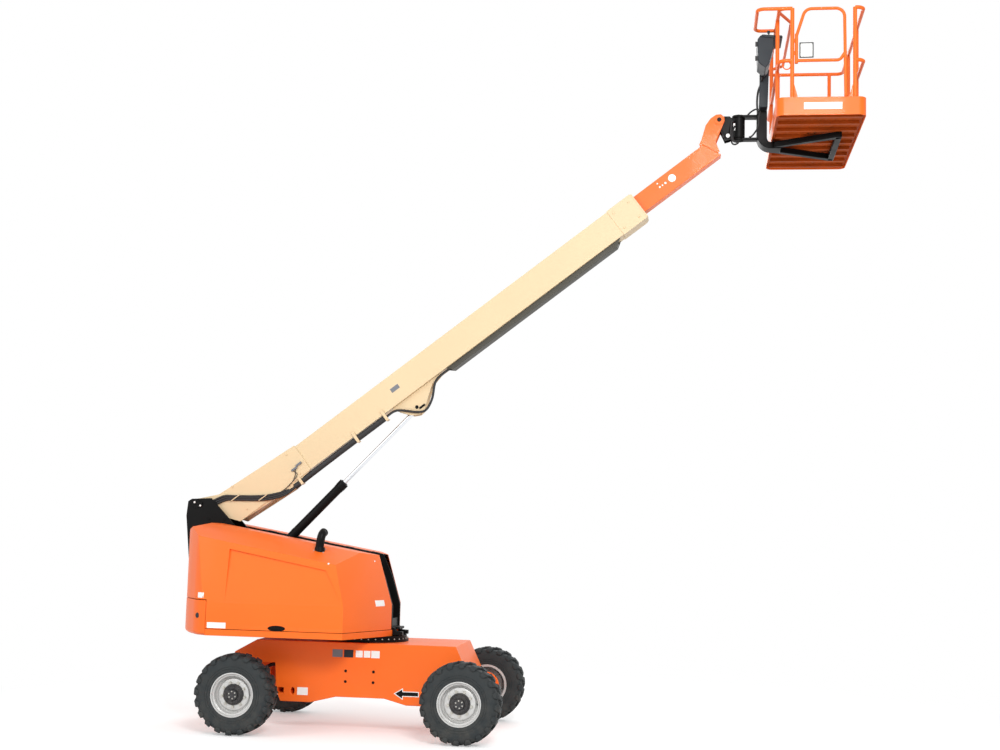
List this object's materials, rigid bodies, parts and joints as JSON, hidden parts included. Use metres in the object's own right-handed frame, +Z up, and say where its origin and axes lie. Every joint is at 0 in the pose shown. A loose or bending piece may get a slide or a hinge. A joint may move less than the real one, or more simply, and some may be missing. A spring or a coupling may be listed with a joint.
{
  "type": "telescopic boom lift",
  "caption": "Self-propelled work platform: wheeled chassis, slewing turntable with hoods, hydraulically raised telescopic boom and a rotating guard-railed basket.",
  "frame": {"origin": "on the ground below the middle of the whole machine's box", "axes": "+X from the tail towards the platform, +Y across to the machine's left with the platform ahead, +Z up"},
  "size_m": [7.255, 2.31, 7.579],
  "materials": {
    "orange_paint": "gloss orange paint",
    "black_paint": "satin black paint",
    "cream_paint": "gloss cream paint",
    "dark_olive_paint": "matt dark olive",
    "black_rubber": "matt",
    "tyre": "matt",
    "silver_rim": "silver paint",
    "hub_iron": "satin black",
    "chrome_rod": "polished",
    "dark_plastic": "matt"
  },
  "bodies": {
    "chassis": {"chassis_frame": "orange_paint", "steer_axle": "orange_paint", "drive_axle_mounts": "orange_paint", "drive_motors": "black_paint", "slew_ring_lower": "black_paint"},
    "knuckle_near": {"knuckle_near": "black_paint"},
    "knuckle_far": {"knuckle_far": "black_paint"},
    "tie_rod": {"tie_rod": "black_paint"},
    "wheel_steer_near": {"tyre_steer_near": "tyre", "rim_steer_near": "silver_rim", "hub_steer_near": "hub_iron"},
    "wheel_steer_far": {"tyre_steer_far": "tyre", "rim_steer_far": "silver_rim", "hub_steer_far": "hub_iron"},
    "wheel_drive_near": {"tyre_drive_near": "tyre", "rim_drive_near": "silver_rim", "hub_drive_near": "hub_iron"},
    "wheel_drive_far": {"tyre_drive_far": "tyre", "rim_drive_far": "silver_rim", "hub_drive_far": "hub_iron"},
    "turntable": {"slew_ring_upper": "black_paint", "turntable_deck": "orange_paint", "counterweight": "orange_paint", "boom_tower": "black_paint", "tower_back": "black_paint", "boom_pin": "black_paint", "cylinder_foot": "black_paint", "front_fascia": "black_paint", "engine_block": "black_paint", "side_tanks": "dark_plastic", "hood_hinges": "black_paint"},
    "hood_near": {"hood_near": "orange_paint", "hood_handle_near": "black_paint", "exhaust_outlet": "black_paint"},
    "hood_far": {"hood_far": "orange_paint", "hood_handle_far": "black_paint"},
    "base_boom": {"base_boom": "cream_paint", "wear_pads": "dark_plastic", "hose_tray": "dark_olive_paint", "hose_bundle": "black_rubber"},
    "lift_barrel": {"lift_barrel": "black_paint"},
    "lift_rod": {"lift_rod": "chrome_rod"},
    "fly_boom": {"fly_boom": "orange_paint", "fly_nose": "orange_paint"},
    "platform_head": {"head_bracket": "black_paint", "rotary_actuator": "black_paint"},
    "platform": {"platform_support": "black_paint", "basket_floor": "orange_paint", "toe_band": "orange_paint", "guard_rails": "orange_paint", "control_console": "dark_plastic"},
    "gate": {"gate": "orange_paint"}
  },
  "joints": [
    {"name": "steer_near", "type": "hinge", "parent": "chassis", "child": "knuckle_near", "pos_m": [-2.7175, -0.72, 0.415], "axis": [0, 0, 1], "range_deg": [-38, 38]},
    {"name": "steer_far", "type": "hinge", "parent": "chassis", "child": "knuckle_far", "pos_m": [-2.7175, 0.72, 0.415], "axis": [0, 0, 1], "range_deg": [-38, 38]},
    {"name": "tie_rod_pivot", "type": "hinge", "parent": "knuckle_near", "child": "tie_rod", "pos_m": [-2.5175, -0.72, 0.415], "axis": [0, 0, 1], "range_deg": [-38, 38]},
    {"name": "wheel_spin_steer_near", "type": "hinge", "parent": "knuckle_near", "child": "wheel_steer_near", "pos_m": [-2.7175, -1, 0.415], "axis": [0, 1, 0], "continuous": true},
    {"name": "wheel_spin_steer_far", "type": "hinge", "parent": "knuckle_far", "child": "wheel_steer_far", "pos_m": [-2.7175, 1, 0.415], "axis": [0, 1, 0], "continuous": true},
    {"name": "wheel_spin_drive_near", "type": "hinge", "parent": "chassis", "child": "wheel_drive_near", "pos_m": [-0.3675, -1, 0.415], "axis": [0, 1, 0], "continuous": true},
    {"name": "wheel_spin_drive_far", "type": "hinge", "parent": "chassis", "child": "wheel_drive_far", "pos_m": [-0.3675, 1, 0.415], "axis": [0, 1, 0], "continuous": true},
    {"name": "slew", "type": "hinge", "parent": "chassis", "child": "turntable", "pos_m": [-1.5675, 0, 1], "axis": [0, 0, 1], "continuous": true},
    {"name": "boom_lift", "type": "hinge", "parent": "turntable", "child": "base_boom", "pos_m": [-3.5175, 0, 2.37], "axis": [0, -1, 0], "range_deg": [-47.7, 34.3]},
    {"name": "lift_barrel_swing", "type": "hinge", "parent": "turntable", "child": "lift_barrel", "pos_m": [-3.33467, 0, 1.13168], "axis": [0, -1, 0], "range_deg": [-37.41, 26.95]},
    {"name": "lift_rod_slide", "type": "slide", "parent": "lift_barrel", "child": "lift_rod", "axis": [0.6896, 0, 0.7242], "range_m": [-0.952, 0.685]},
    {"name": "telescope", "type": "slide", "parent": "base_boom", "child": "fly_boom", "axis": [0.7912, 0, 0.6115], "range_m": [-0.75, 3.5]},
    {"name": "platform_level", "type": "hinge", "parent": "fly_boom", "child": "platform_head", "pos_m": [2.1675, 0, 6.691], "axis": [0, -1, 0], "range_deg": [-34.5, 47.9]},
    {"name": "platform_rotate", "type": "hinge", "parent": "platform_head", "child": "platform", "pos_m": [2.3825, 0, 6.691], "axis": [0, 0, 1], "range_deg": [-90, 90]},
    {"name": "gate_swing", "type": "hinge", "parent": "platform", "child": "gate", "pos_m": [2.9265, -1.0892, 7.008], "axis": [0, 0, 1], "range_deg": [0, 85]},
    {"name": "hood_near_lift", "type": "hinge", "parent": "turntable", "child": "hood_near", "pos_m": [-2.8845, -0.2215, 2.102], "axis": [-0.9858, 0, 0.168], "range_deg": [0, 55]},
    {"name": "hood_far_lift", "type": "hinge", "parent": "turntable", "child": "hood_far", "pos_m": [-2.8845, 0.2215, 2.102], "axis": [0.9858, 0, -0.168], "range_deg": [0, 55]}
  ],
  "couplings": [
    {"joint": "steer_far", "follows": "steer_near", "ratio": 1},
    {"joint": "tie_rod_pivot", "follows": "steer_near", "ratio": -1},
    {"joint": "lift_barrel_swing", "follows": "boom_lift", "ratio": 0.78},
    {"joint": "lift_rod_slide", "follows": "boom_lift", "m_per_rad": 1.14},
    {"joint": "platform_level", "follows": "boom_lift", "ratio": -1}
  ]
}
